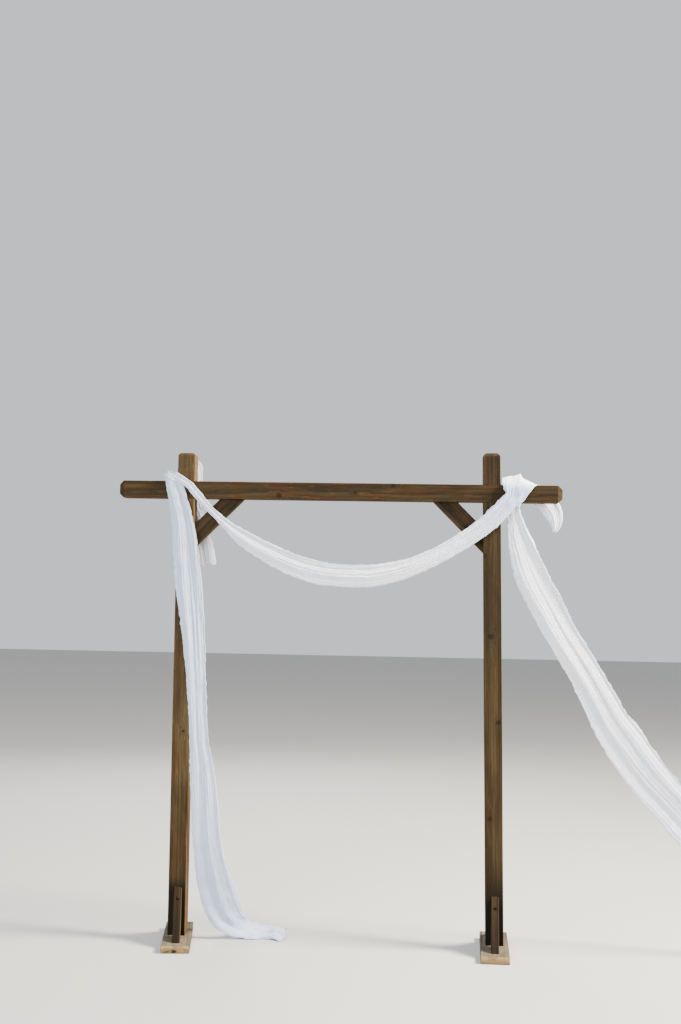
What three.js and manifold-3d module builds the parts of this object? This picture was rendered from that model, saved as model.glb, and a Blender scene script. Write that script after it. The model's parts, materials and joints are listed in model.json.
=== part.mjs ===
// A wooden wedding arbor: two square posts, a crossbeam lapped into them, knee braces,
// base boards with sloping kickers, and white gauze wrapped, swagged and hung over the beam.
// Millimetres, +Z up. The origin is where the left post's centre line meets the floor,
// +X runs along the crossbeam to the right post, and +Y runs to the rear.
import * as THREE from 'three';
import { ConvexGeometry } from 'three/addons/geometries/ConvexGeometry.js';
import { mergeVertices } from 'three/addons/utils/BufferGeometryUtils.js';
import Module from 'manifold-3d';

const wasm = await Module();
wasm.setup();

// Lumber sections
const postSide = 88.9;
const boardThickness = 38;
const braceWidth = 88.9;
const baseWidth = 140;
const seam = 0.3;

// Posts
const leftPostLength = 2431;
const rightPostLength = 2448;
const postSpacing = 1591.4;
const rightPostLean = THREE.MathUtils.degToRad(0.98);

// Crossbeam
const beamUnderside = 2236;
const beamLength = 2255;
const beamLeftEnd = -347;
const beamBevel = { inset: 21, height: 24 };

// Knee braces, cut at 45 degrees; braces and kickers are drawn a little way into the posts,
// and then cut to them.
const braceInnerLeg = 127;
const drawnIntoPost = 12;

// Feet
const baseLength = 508;
const leftBaseTurn = THREE.MathUtils.degToRad(7.4);
const rightBaseTurn = THREE.MathUtils.degToRad(-1.2);
const kickerReach = 160;
const kickerTop = 280;
const kickerScrewHeight = 227;

// Timber screws
const screwHead = { radius: 6.5, height: 4 };
const screwShank = { radius: 3.2, point: 8 };
const kickerScrewLength = 60;
const braceScrewLength = 90;
const lapScrewLength = 75;
const counterboreRadius = 8;
const counterboreDepth = 14;
const lapScrewOffset = 24;
const braceScrewAcross = 185;
const screwSides = 12;
const counterboreSides = 18;

const half = postSide / 2;
const beamTop = beamUnderside + postSide;
const leanSlope = Math.tan(rightPostLean);

// Materials
const timber = { color: 0x5a3c26, roughness: 0.75, metalness: 0 };
const bareTimber = { color: 0x9a8c7a, roughness: 0.85, metalness: 0 };
const gauze = { color: 0xf1f3f8, roughness: 0.9, metalness: 0, side: THREE.DoubleSide };
const darkSteel = { color: 0x2a2724, roughness: 0.5, metalness: 0.9 };

// Turn a three.js geometry into a solid, and back.
function solid(geometry) {
  const bare = geometry.clone();
  bare.deleteAttribute('normal');
  bare.deleteAttribute('uv');
  const merged = mergeVertices(bare, 1e-4);
  return new wasm.Manifold(new wasm.Mesh({
    numProp: 3,
    vertProperties: Float32Array.from(merged.attributes.position.array),
    triVerts: Uint32Array.from(merged.index.array),
  }));
}

function geometryOf(shape) {
  const mesh = shape.getMesh();
  const geometry = new THREE.BufferGeometry();
  geometry.setAttribute('position', new THREE.BufferAttribute(new Float32Array(mesh.vertProperties), 3));
  geometry.setIndex(new THREE.BufferAttribute(new Uint32Array(mesh.triVerts), 1));
  return geometry;
}

function largestPiece(shape) {
  return shape.decompose().sort((a, b) => b.volume() - a.volume())[0];
}

function placed(geometry, { turnX = 0, turnY = 0, turnZ = 0, at = [0, 0, 0] }) {
  const turn = new THREE.Matrix4().makeRotationFromEuler(new THREE.Euler(turnX, turnY, turnZ, 'XYZ'));
  return geometry.clone().applyMatrix4(turn.setPosition(...at));
}

function block(from, to) {
  const size = to.map((end, axis) => end - from[axis]);
  return new THREE.BoxGeometry(...size).translate(...from.map((start, axis) => start + size[axis] / 2));
}

// A square bar along +Z from the origin, with its ends bevelled on all four sides.
function bar(length, { bevel = null, bevelStart = false, grow = 0 } = {}) {
  const side = half + grow;
  const corners = [];
  const ring = (z, inset) => {
    for (const x of [-1, 1]) {
      for (const y of [-1, 1]) corners.push(new THREE.Vector3(x * (side - inset), y * (side - inset), z));
    }
  };
  ring(bevelStart ? bevel.height : 0, 0);
  ring(bevel ? length - bevel.height : length, 0);
  if (bevelStart) ring(0, bevel.inset);
  if (bevel) ring(length, bevel.inset);
  return new ConvexGeometry(corners);
}

// An outline in millimetres, extruded by a thickness centred on its plane.
function plate(outline, thickness) {
  const shape = new THREE.Shape(outline.map(([x, y]) => new THREE.Vector2(x, y)));
  const geometry = new THREE.ExtrudeGeometry(shape, { depth: thickness, bevelEnabled: false });
  return geometry.translate(0, 0, -thickness / 2);
}

// Posts stand on the base boards, with their feet cut level; the right one leans inward at its top.
const postFoot = boardThickness + seam;
const footTrim = 2;
const leftPost = {
  length: leftPostLength,
  bevel: { inset: 10, height: 11 },
  at: [0, 0, postFoot - footTrim],
};
const rightPost = {
  length: rightPostLength,
  bevel: { inset: 15, height: 15 },
  turnY: -rightPostLean,
  at: [postSpacing, 0, postFoot - footTrim],
};
const underPosts = solid(block([-postSide, -postSide, 0], [postSpacing + postSide, postSide, postFoot]));

function postBar(post, grow = 0) {
  return solid(placed(bar(post.length + footTrim, { bevel: post.bevel, grow }), post));
}

function rightPostCentre(z) {
  return postSpacing - (z - boardThickness) * leanSlope;
}

// The beam lies across both posts in a half lap: each post keeps its rear half there,
// and the beam keeps its front half.
const beamPlace = { turnY: Math.PI / 2, at: [beamLeftEnd, 0, beamUnderside + half] };
const beamBar = solid(placed(bar(beamLength, { bevel: beamBevel, bevelStart: true }), beamPlace));
const lapRoom = solid(block(
  [beamLeftEnd, -postSide, beamUnderside - seam],
  [beamLeftEnd + beamLength, 0, beamTop + seam],
));
const rearHalf = solid(block([beamLeftEnd, -seam, 0], [beamLeftEnd + beamLength, postSide, beamTop + postSide]));

// A timber screw along +Z: its head's outer face is at the origin and its point is at the far end.
function screw(length, grow = 0) {
  const outline = [
    [0, -grow],
    [screwHead.radius + grow, -grow],
    [screwHead.radius + grow, screwHead.height + grow],
    [screwShank.radius + grow, screwHead.height + grow],
    [screwShank.radius + grow, length - screwShank.point],
    [0, length + grow],
  ];
  const points = outline.map(([radius, along]) => new THREE.Vector2(radius, along));
  return new THREE.LatheGeometry(points, screwSides).rotateX(Math.PI / 2);
}

// The drilled way of a screw, with a counterbore that runs back out of the timber.
function screwHole(length, place) {
  const shank = solid(placed(screw(length, seam), place));
  const mouth = new THREE.CylinderGeometry(counterboreRadius, counterboreRadius, braceWidth, counterboreSides);
  const reach = screwHead.height - braceWidth / 2;
  return shank.add(solid(placed(mouth.rotateX(Math.PI / 2).translate(0, 0, reach), place)));
}

// Sloping kickers stand on the base boards, one in front of each post and one behind it.
const kickerSlope = kickerReach / (kickerTop - boardThickness);
const kickerEdge = Math.hypot(1, kickerSlope);
const kickerOutline = [
  [-half + drawnIntoPost, kickerTop + drawnIntoPost / kickerSlope],
  [-half - kickerReach, boardThickness + seam],
  [-half - kickerReach + braceWidth * kickerEdge, boardThickness + seam],
  [-half + drawnIntoPost, kickerTop + (drawnIntoPost - braceWidth * kickerEdge) / kickerSlope],
];
const kickerPlate = plate(kickerOutline, boardThickness)
  .applyMatrix4(new THREE.Matrix4().makeBasis(
    new THREE.Vector3(0, 1, 0),
    new THREE.Vector3(0, 0, 1),
    new THREE.Vector3(1, 0, 0),
  ));
const kickerFaceAtScrew = -half - (kickerTop - kickerScrewHeight) * kickerSlope;

function kickerScrewPlace(turn, x) {
  const head = kickerFaceAtScrew + counterboreDepth;
  return {
    turnX: -Math.PI / 2,
    turnZ: turn,
    at: [x - head * Math.sin(turn), head * Math.cos(turn), kickerScrewHeight],
  };
}

const sides = [
  {
    side: 'left',
    post: leftPost,
    foot: 0,
    footTurn: leftBaseTurn,
    lapCentre: 0,
    braceFace: half,
    braceWay: 1,
  },
  {
    side: 'right',
    post: rightPost,
    foot: postSpacing,
    footTurn: rightBaseTurn,
    lapCentre: rightPostCentre(beamUnderside + half),
    braceFace: rightPostCentre(beamUnderside) - half,
    braceWay: -1,
  },
];

// Screws: one through each kicker into the post, one through each end of each brace,
// and two through the back of each lap into the beam.
function screwsOf({ side, foot, footTurn, lapCentre, braceFace, braceWay }) {
  const braceOuterLeg = braceInnerLeg + braceWidth * Math.SQRT2;
  const braceFaceDrop = braceOuterLeg - braceScrewAcross;
  const headBack = Math.PI;
  return [
    {
      name: `${side}_front_kicker_screw`,
      length: kickerScrewLength,
      place: kickerScrewPlace(footTurn, foot),
    },
    {
      name: `${side}_rear_kicker_screw`,
      length: kickerScrewLength,
      place: kickerScrewPlace(footTurn + headBack, foot),
    },
    {
      name: `${side}_brace_beam_screw`,
      length: braceScrewLength,
      place: {
        at: [braceFace + braceWay * braceScrewAcross, 0, beamUnderside - braceFaceDrop + counterboreDepth],
      },
    },
    {
      name: `${side}_brace_post_screw`,
      length: braceScrewLength,
      place: {
        turnY: -braceWay * (Math.PI / 2),
        at: [braceFace + braceWay * (braceFaceDrop - counterboreDepth), 0, beamUnderside - braceScrewAcross],
      },
    },
    {
      name: `${side}_lap_upper_screw`,
      length: lapScrewLength,
      place: { turnX: Math.PI / 2, at: [lapCentre - lapScrewOffset, half, beamTop - lapScrewOffset] },
    },
    {
      name: `${side}_lap_lower_screw`,
      length: lapScrewLength,
      place: { turnX: Math.PI / 2, at: [lapCentre + lapScrewOffset, half, beamUnderside + lapScrewOffset] },
    },
  ];
}

// Each knee brace is a 2x4 with mitred ends, from the post's inner face to the beam's underside.
function braceSolid({ braceFace, braceWay, post }) {
  const outer = braceInnerLeg + braceWidth * Math.SQRT2;
  const into = drawnIntoPost;
  const outline = [
    [braceFace + braceWay * braceInnerLeg, beamUnderside - seam],
    [braceFace + braceWay * outer, beamUnderside - seam],
    [braceFace - braceWay * into, beamUnderside - outer - into],
    [braceFace - braceWay * into, beamUnderside - braceInnerLeg - into],
  ];
  const upright = placed(plate(outline, boardThickness), { turnX: Math.PI / 2 });
  return solid(upright).subtract(postBar(post, seam));
}

function kickerSolid(foot, turn, post) {
  return solid(placed(kickerPlate, { turnZ: turn, at: [foot, 0, 0] })).subtract(postBar(post, seam));
}

// Cloth: a gathered run is a loft of flattened, rippled sections along a smooth path. Each
// station gives the centre, the width and depth of the run, and the way its broad side faces.
const front = [0, -1, 0];
const back = [0, 1, 0];
const up = [0, 0, 1];
const sectionPoints = 16;
const stepsPerSpan = 2;
const sectionSquareness = 0.75;
const rippleDepth = 0.16;
const clothRoom = 3000;

function through(points) {
  return new THREE.CatmullRomCurve3(points.map((p) => new THREE.Vector3(...p)), false, 'centripetal');
}

function clothRun(stations, { folds = 3, grow = 0 } = {}) {
  const path = through(stations.map((s) => s.at));
  const size = through(stations.map((s, i) => [s.wide, s.deep, i]));
  const facing = through(stations.map((s, i) => [...(s.faces ?? front)].map((v) => v + i * 1e-6)));
  const rings = (stations.length - 1) * stepsPerSpan;
  const vertices = [];
  const triangles = [];
  const spread = (value) => Math.sign(value) * Math.abs(value) ** sectionSquareness;
  for (let ring = 0; ring <= rings; ring += 1) {
    const t = ring / rings;
    const along = path.getTangent(t);
    const centre = path.getPoint(t);
    if (ring === 0) centre.addScaledVector(along, -grow);
    if (ring === rings) centre.addScaledVector(along, grow);
    const across = along.clone().cross(facing.getPoint(t)).normalize();
    const outward = across.clone().cross(along).normalize();
    const { x: wide, y: deep } = size.getPoint(t);
    for (let i = 0; i < sectionPoints; i += 1) {
      const angle = (2 * Math.PI * i) / sectionPoints;
      const reach = spread(Math.cos(angle));
      const ripple = Math.cos(Math.PI * folds * reach) * rippleDepth * deep * (1 - reach * reach);
      const point = centre.clone()
        .addScaledVector(across, reach * (wide / 2 + grow))
        .addScaledVector(outward, spread(Math.sin(angle)) * (deep / 2 + grow) + ripple);
      vertices.push(point.x, point.y, point.z);
    }
  }
  for (let ring = 0; ring < rings; ring += 1) {
    for (let i = 0; i < sectionPoints; i += 1) {
      const next = (i + 1) % sectionPoints;
      const a = ring * sectionPoints + i;
      const b = ring * sectionPoints + next;
      triangles.push(a, b + sectionPoints, b, a, a + sectionPoints, b + sectionPoints);
    }
  }
  const lastRing = rings * sectionPoints;
  for (let i = 1; i < sectionPoints - 1; i += 1) {
    triangles.push(0, i, i + 1, lastRing, lastRing + i + 1, lastRing + i);
  }
  const geometry = new THREE.BufferGeometry();
  geometry.setAttribute('position', new THREE.BufferAttribute(new Float32Array(vertices), 3));
  geometry.setIndex(triangles);
  return solid(geometry);
}

const leftTail = [
  { at: [-46, -66, 2350], wide: 80, deep: 34 },
  { at: [-43, -70, 2275], wide: 92, deep: 36 },
  { at: [-2, -74, 2082], wide: 112, deep: 38 },
  { at: [29, -74, 1822], wide: 128, deep: 40 },
  { at: [62, -74, 1520], wide: 108, deep: 40 },
  { at: [92, -64, 1143], wide: 86, deep: 36 },
  { at: [124, -25, 858], wide: 110, deep: 38 },
  { at: [149, 30, 573], wide: 132, deep: 40 },
  { at: [196, 80, 325], wide: 158, deep: 42 },
  { at: [262, 112, 150], wide: 168, deep: 46, faces: [0, -1, 0.5] },
  { at: [330, 128, 66], wide: 150, deep: 60, faces: [0, -0.6, 1] },
];

const leftFloorEnd = [
  { at: [262, 118, 46], wide: 110, deep: 50, faces: up },
  { at: [345, 132, 42], wide: 176, deep: 80, faces: up },
  { at: [430, 148, 28], wide: 166, deep: 62, faces: up },
  { at: [528, 164, 16], wide: 110, deep: 44, faces: up },
];

const leftWrap = [
  { at: [-20, -67, 2348], wide: 52, deep: 30 },
  { at: [-64, -50, 2346], wide: 56, deep: 36, faces: [-1, -1, 0.4] },
  { at: [-74, 4, 2344], wide: 54, deep: 46, faces: [-1, 0, 0.4] },
  { at: [-62, 54, 2362], wide: 60, deep: 40, faces: [-1, 1, 0] },
  { at: [-4, 64, 2386], wide: 70, deep: 34, faces: back },
];

const leftBackTail = [
  { at: [14, 66, 2446], wide: 54, deep: 26, faces: back },
  { at: [16, 67, 2394], wide: 94, deep: 32, faces: back },
  { at: [-2, 68, 2200], wide: 88, deep: 34, faces: back },
  { at: [58, 70, 2061], wide: 104, deep: 36, faces: back },
  { at: [92, 72, 1940], wide: 82, deep: 34, faces: back },
  { at: [98, 72, 1900], wide: 50, deep: 26, faces: back },
];

const swag = [
  { at: [-24, -67, 2358], wide: 46, deep: 30 },
  { at: [56, -68, 2271], wide: 44, deep: 32 },
  { at: [131, -72, 2184], wide: 45, deep: 36 },
  { at: [226, -74, 2090], wide: 60, deep: 38 },
  { at: [375, -76, 1991], wide: 86, deep: 40 },
  { at: [563, -78, 1904], wide: 106, deep: 42 },
  { at: [740, -78, 1864], wide: 112, deep: 44 },
  { at: [940, -78, 1855], wide: 108, deep: 44 },
  { at: [1105, -76, 1888], wide: 101, deep: 42 },
  { at: [1278, -74, 1960], wide: 88, deep: 40 },
  { at: [1442, -72, 2062], wide: 80, deep: 38 },
  { at: [1573, -70, 2164], wide: 92, deep: 36 },
  { at: [1654, -66, 2256], wide: 98, deep: 34 },
  { at: [1680, -64, 2345], wide: 146, deep: 34 },
];

const rightWrap = [
  { at: [1680, -64, 2332], wide: 150, deep: 36 },
  { at: [1684, -34, 2350], wide: 150, deep: 44, faces: [0, -1, 1] },
  { at: [1700, 8, 2352], wide: 160, deep: 54, faces: up },
  { at: [1740, 48, 2334], wide: 150, deep: 44, faces: [0, 1, 1] },
  { at: [1796, 62, 2286], wide: 120, deep: 34, faces: back },
  { at: [1842, 66, 2238], wide: 104, deep: 32, faces: back },
];

const rightBackTail = [
  { at: [1830, 65, 2250], wide: 104, deep: 32, faces: back },
  { at: [1878, 70, 2172], wide: 84, deep: 34, faces: back },
  { at: [1884, 74, 2102], wide: 36, deep: 24, faces: back },
];

const rightTail = [
  { at: [1660, -18, 2246], wide: 64, deep: 34 },
  { at: [1684, -12, 2105], wide: 92, deep: 38 },
  { at: [1721, -6, 1960], wide: 128, deep: 40 },
  { at: [1782, 0, 1815], wide: 160, deep: 42 },
  { at: [1908, 0, 1580], wide: 164, deep: 42 },
  { at: [2091, 0, 1277], wide: 168, deep: 42 },
  { at: [2305, 0, 927], wide: 206, deep: 42 },
  { at: [2468, 0, 744], wide: 204, deep: 42 },
  { at: [2584, 0, 618], wide: 222, deep: 42 },
  { at: [2800, 0, 408], wide: 216, deep: 44 },
  { at: [2984, 2, 232], wide: 200, deep: 46, faces: [0, -1, 0.5] },
  { at: [3140, 7, 84], wide: 170, deep: 56, faces: [0, -0.7, 1] },
];

const rightFloorEnd = [
  { at: [3070, 6, 46], wide: 120, deep: 50, faces: up },
  { at: [3160, 8, 44], wide: 200, deep: 86, faces: up },
  { at: [3250, 12, 28], wide: 184, deep: 62, faces: up },
  { at: [3356, 18, 16], wide: 128, deep: 44, faces: up },
];

// The drapes lie on the timbers and on each other, each cut clear of what it rests on.
const aboveFloor = solid(block([-clothRoom, -clothRoom, 0], [2 * clothRoom, clothRoom, clothRoom]));
const timberRoom = sides
  .reduce((room, { post }) => room.add(postBar(post, seam)), solid(block(
    [beamLeftEnd, -half - seam, beamUnderside - seam],
    [beamLeftEnd + beamLength, half + seam, beamTop + seam],
  )));

function drape(name, stations, restsOn) {
  const cleared = restsOn.reduce(
    (run, other) => run.subtract(clothRun(other, { grow: seam })),
    clothRun(stations).subtract(timberRoom).intersect(aboveFloor),
  );
  return { name, shape: largestPiece(cleared), material: gauze };
}

const drapes = [
  drape('drape_left_back_tail', leftBackTail, []),
  drape('drape_left_wrap', leftWrap, [leftBackTail]),
  drape('drape_left_floor_end', leftFloorEnd, []),
  drape('drape_left_tail', leftTail, [leftWrap, leftFloorEnd]),
  drape('drape_right_wrap', rightWrap, []),
  drape('drape_right_back_tail', rightBackTail, [rightWrap]),
  drape('drape_swag', swag, [leftWrap, leftTail, rightWrap]),
  drape('drape_right_floor_end', rightFloorEnd, []),
  drape('drape_right_tail', rightTail, [swag, rightWrap, rightFloorEnd]),
];

// Drill every timber with every screw's hole, so that each screw sits in what it passes through.
const screws = sides.flatMap(screwsOf);
const holes = screws.map(({ length, place }) => screwHole(length, place));
const lapHoles = sides
  .map(({ post }) => postBar(post, seam).intersect(rearHalf))
  .reduce((all, one) => all.add(one));

function drilled(shape) {
  return holes.reduce((rest, hole) => rest.subtract(hole), shape);
}

const timbers = sides.flatMap((one) => [
  { name: `${one.side}_post`, shape: drilled(postBar(one.post).subtract(lapRoom).subtract(underPosts)), material: timber },
  { name: `${one.side}_knee_brace`, shape: drilled(braceSolid(one)), material: timber },
  {
    name: `${one.side}_base_board`,
    shape: solid(placed(
      block([-baseWidth / 2, -baseLength / 2, 0], [baseWidth / 2, baseLength / 2, boardThickness]),
      { turnZ: one.footTurn, at: [one.foot, 0, 0] },
    )),
    material: bareTimber,
  },
  {
    name: `${one.side}_front_kicker`,
    shape: drilled(kickerSolid(one.foot, one.footTurn, one.post)),
    material: timber,
  },
  {
    name: `${one.side}_rear_kicker`,
    shape: drilled(kickerSolid(one.foot, one.footTurn + Math.PI, one.post)),
    material: timber,
  },
]);

const crossbeam = { name: 'crossbeam', shape: drilled(beamBar.subtract(lapHoles)), material: timber };

const fasteners = screws.map(({ name, length, place }) => ({
  name,
  shape: solid(placed(screw(length), place)),
  material: darkSteel,
}));

const arbor = new THREE.Group();
for (const { name, shape, material } of [crossbeam, ...timbers, ...fasteners, ...drapes]) {
  const mesh = new THREE.Mesh(geometryOf(shape), new THREE.MeshStandardMaterial(material));
  mesh.name = name;
  arbor.add(mesh);
}

export default arbor;
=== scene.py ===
# A wooden wedding arbor hung with white gauze, dressed for rendering.
# Metres, +Z up. The left post's centre line meets the floor at the origin.
import itertools
import json
import math

import bmesh
import bpy
import numpy
from mathutils import Matrix, Vector, noise


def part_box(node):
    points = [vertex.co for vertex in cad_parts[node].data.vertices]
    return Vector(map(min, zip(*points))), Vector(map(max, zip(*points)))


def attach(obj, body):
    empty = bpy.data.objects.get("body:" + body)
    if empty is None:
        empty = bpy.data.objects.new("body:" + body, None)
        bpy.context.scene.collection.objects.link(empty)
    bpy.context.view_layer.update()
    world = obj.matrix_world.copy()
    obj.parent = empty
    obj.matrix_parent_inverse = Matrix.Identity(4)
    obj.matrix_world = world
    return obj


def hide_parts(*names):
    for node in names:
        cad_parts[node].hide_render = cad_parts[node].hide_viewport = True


noise.seed_set(3)   # else the crumples differ on each run
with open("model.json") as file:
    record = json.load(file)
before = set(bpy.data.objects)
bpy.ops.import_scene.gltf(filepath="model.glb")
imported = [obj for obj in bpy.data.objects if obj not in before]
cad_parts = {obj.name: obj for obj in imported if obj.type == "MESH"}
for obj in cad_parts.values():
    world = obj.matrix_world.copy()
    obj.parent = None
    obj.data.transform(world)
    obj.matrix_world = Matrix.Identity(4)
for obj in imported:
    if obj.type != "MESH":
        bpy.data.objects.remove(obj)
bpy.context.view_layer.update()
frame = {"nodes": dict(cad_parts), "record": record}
rootBody = "root"
print("frame loaded,", len(frame["nodes"]), "nodes")


# Camera, at the photograph's viewpoint
cameraLook = {
    "place": (1.2587, -7.218, 1.80),
    "turn": 3.73,      # degrees to the left
    "tilt": 3.0,       # degrees up
    "roll": 0.98,      # degrees clockwise
    "lens": 50.0,
    "sensor": 36.0,
}


def makeCamera(look):
    turn, tilt, roll = (math.radians(look[key]) for key in ("turn", "tilt", "roll"))
    level = Vector((math.cos(turn), math.sin(turn), 0))
    forward = Vector((-math.sin(turn) * math.cos(tilt), math.cos(turn) * math.cos(tilt), math.sin(tilt)))
    upright = level.cross(forward)
    right = level * math.cos(roll) + upright * math.sin(roll)
    up = right.cross(forward)
    lens = bpy.data.cameras.new("camera")
    lens.lens = look["lens"]
    lens.sensor_width = look["sensor"]
    lens.clip_end = 60
    camera = bpy.data.objects.new("camera", lens)
    bpy.context.scene.collection.objects.link(camera)
    turned = Matrix((right, up, -forward)).transposed().to_4x4()
    camera.matrix_world = Matrix.Translation(look["place"]) @ turned
    bpy.context.scene.camera = camera


makeCamera(cameraLook)


# Shared helpers
def linked(name, mesh):
    piece = bpy.data.objects.new(name, mesh)
    bpy.context.scene.collection.objects.link(piece)
    return piece


def meshFrom(name, vertices, faces):
    mesh = bpy.data.meshes.new(name)
    mesh.from_pydata(vertices, [], faces)
    mesh.validate()
    mesh.update()
    return mesh


def applied(piece):
    view = bpy.context.view_layer
    view.update()
    done = bpy.data.meshes.new_from_object(piece.evaluated_get(view.depsgraph))
    done.name = piece.name
    piece.modifiers.clear()
    piece.data = done
    return piece


def fill(tree, node, inputs):
    # an input takes a plain value or another node's output
    for label, value in inputs.items():
        socket = node.inputs[label]
        if isinstance(value, bpy.types.NodeSocket):
            tree.links.new(value, socket)
        else:
            socket.default_value = value
    return node


def addNode(tree, kind, inputs=None, **settings):
    # nodes stand in rows of twelve, in the order in which they are made
    node = tree.nodes.new(kind)
    row, place = divmod(len(tree.nodes), 12)
    node.location = (220 * place, -260 * row)
    for key, value in settings.items():
        setattr(node, key, value)
    return fill(tree, node, inputs or {})


def mathNode(tree, operation, *values):
    return addNode(tree, "ShaderNodeMath", dict(enumerate(values)), operation=operation).outputs[0]


def vectorNode(tree, operation, *values, scale=None):
    inputs = dict(enumerate(values))
    if scale is not None:
        inputs["Scale"] = scale
    node = addNode(tree, "ShaderNodeVectorMath", inputs, operation=operation)
    return node.outputs["Value" if operation in ("LENGTH", "DOT_PRODUCT") else "Vector"]


def axisNode(tree, vector):
    return addNode(tree, "ShaderNodeSeparateXYZ", {0: vector}).outputs


def rangeNode(tree, value, low, high, outLow=0.0, outHigh=1.0):
    inputs = {"Value": value, "From Min": low, "From Max": high, "To Min": outLow, "To Max": outHigh}
    return addNode(tree, "ShaderNodeMapRange", inputs, interpolation_type="SMOOTHSTEP").outputs["Result"]


def mixNode(tree, factor, first, second, blend="MIX"):
    inputs = {0: factor, 6: first, 7: second}
    return addNode(tree, "ShaderNodeMix", inputs, data_type="RGBA", blend_type=blend).outputs[2]


def layered(tree, colour, *layers):
    # each layer is a mask, how strong it is, and its colour
    for mask, strength, paint in layers:
        colour = mixNode(tree, mathNode(tree, "MULTIPLY", mask, strength), colour, paint)
    return colour


def noiseNode(tree, coordinates, stretch, detail=3.0, roughness=0.5):
    # noise that is drawn out by its own scale on each axis
    mapped = addNode(tree, "ShaderNodeMapping", {"Vector": coordinates, "Scale": stretch}).outputs["Vector"]
    inputs = {"Vector": mapped, "Scale": 1.0, "Detail": detail, "Roughness": roughness}
    return addNode(tree, "ShaderNodeTexNoise", inputs).outputs["Fac"]


def attributeNode(tree, name, output="Vector"):
    return addNode(tree, "ShaderNodeAttribute", attribute_name=name).outputs[output]


def objectPlace(tree):
    return addNode(tree, "ShaderNodeTexCoord").outputs["Object"]


# Finishes: shared effects are node groups, each material places them with its own values
def shade(red, green, blue):
    # a picture colour, 0 to 255, as the linear tuple that nodes read
    parts = [part / 255 for part in (red, green, blue)]
    dim = 10 / 255
    return (*(part / 12.92 if part <= dim else ((part + 0.055) / 1.055) ** 2.4 for part in parts), 1.0)


def newSockets(tree, way, sockets):
    for label, kind, value in sockets:
        socket = tree.interface.new_socket(label, in_out=way, socket_type=f"NodeSocket{kind}")
        if value is not None:
            socket.default_value = value


def newGroup(name, **values):
    tree = bpy.data.node_groups.new(name, "ShaderNodeTree")
    kinds = {tuple: "Vector", float: "Float"}
    newSockets(tree, "INPUT", [(label, kinds[type(value)], value) for label, value in values.items()])
    return tree, addNode(tree, "NodeGroupInput").outputs


def givingOut(tree, **found):
    newSockets(tree, "OUTPUT", [(label, "Float", None) for label in found])
    addNode(tree, "NodeGroupOutput", found)
    return tree


def placeGroup(tree, group, **values):
    return addNode(tree, "ShaderNodeGroup", values, node_tree=group).outputs


def makeSawnWood():
    # solid wood: rings round the pith, long fibres, streaks of stain and drying cracks
    tree, given = newGroup("sawnWood", Spot=(0, 0, 0), Bend=0.0, Pitch=0.0055, Wander=0.022)
    spot = given["Spot"]

    def centred(stretch, detail):
        return mathNode(tree, "SUBTRACT", noiseNode(tree, spot, stretch, detail), 0.5)

    # how far out from the pith, with slow wanders, a fine waver and the bends round the knots
    reach = vectorNode(tree, "LENGTH", vectorNode(tree, "MULTIPLY", spot, (1, 1, 0)))
    reach = mathNode(tree, "MULTIPLY_ADD", centred((5, 5, 0.9), 2.0), given["Wander"], reach)
    reach = mathNode(tree, "MULTIPLY_ADD", centred((26, 26, 3.0), 3.0), 0.0042, reach)
    phase = mathNode(tree, "DIVIDE", mathNode(tree, "ADD", reach, given["Bend"]), given["Pitch"])
    part = mathNode(tree, "FRACT", phase)
    # each ring darkens slowly and ends sharply, and some are paler than others
    rise, drop = rangeNode(tree, part, 0.28, 0.86), rangeNode(tree, part, 0.90, 1.0, 1.0, 0.0)
    number = mathNode(tree, "FLOOR", phase)
    each = addNode(tree, "ShaderNodeTexWhiteNoise", {"W": number}, noise_dimensions="1D").outputs["Value"]
    tone = mathNode(tree, "MULTIPLY_ADD", each, 0.6, 0.4)
    rings = mathNode(tree, "MULTIPLY", mathNode(tree, "MULTIPLY", rise, drop), tone)
    fibre = noiseNode(tree, spot, (460, 460, 10), 3.0, 0.65)
    # hairline cracks along the fibres, in a few places only
    thin = mathNode(tree, "ABSOLUTE", centred((60, 60, 1.3), 1.0))
    where = rangeNode(tree, noiseNode(tree, spot, (11, 11, 2.0), 1.0), 0.55, 0.64)
    crack = mathNode(tree, "MULTIPLY", rangeNode(tree, thin, 0.0, 0.014, 1.0, 0.0), where)
    height = mathNode(tree, "MULTIPLY_ADD", fibre, 0.5, mathNode(tree, "MULTIPLY", rings, 0.35))
    return givingOut(
        tree, Rings=rings, Fibre=fibre, Crack=crack,
        Streaks=rangeNode(tree, noiseNode(tree, spot, (44, 44, 0.8), 4.0, 0.6), 0.34, 0.68),
        Blotch=rangeNode(tree, noiseNode(tree, spot, (9, 9, 1.5), 3.0, 0.55), 0.36, 0.66),
        Height=mathNode(tree, "MULTIPLY_ADD", crack, -1.4, height),
    )


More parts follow.
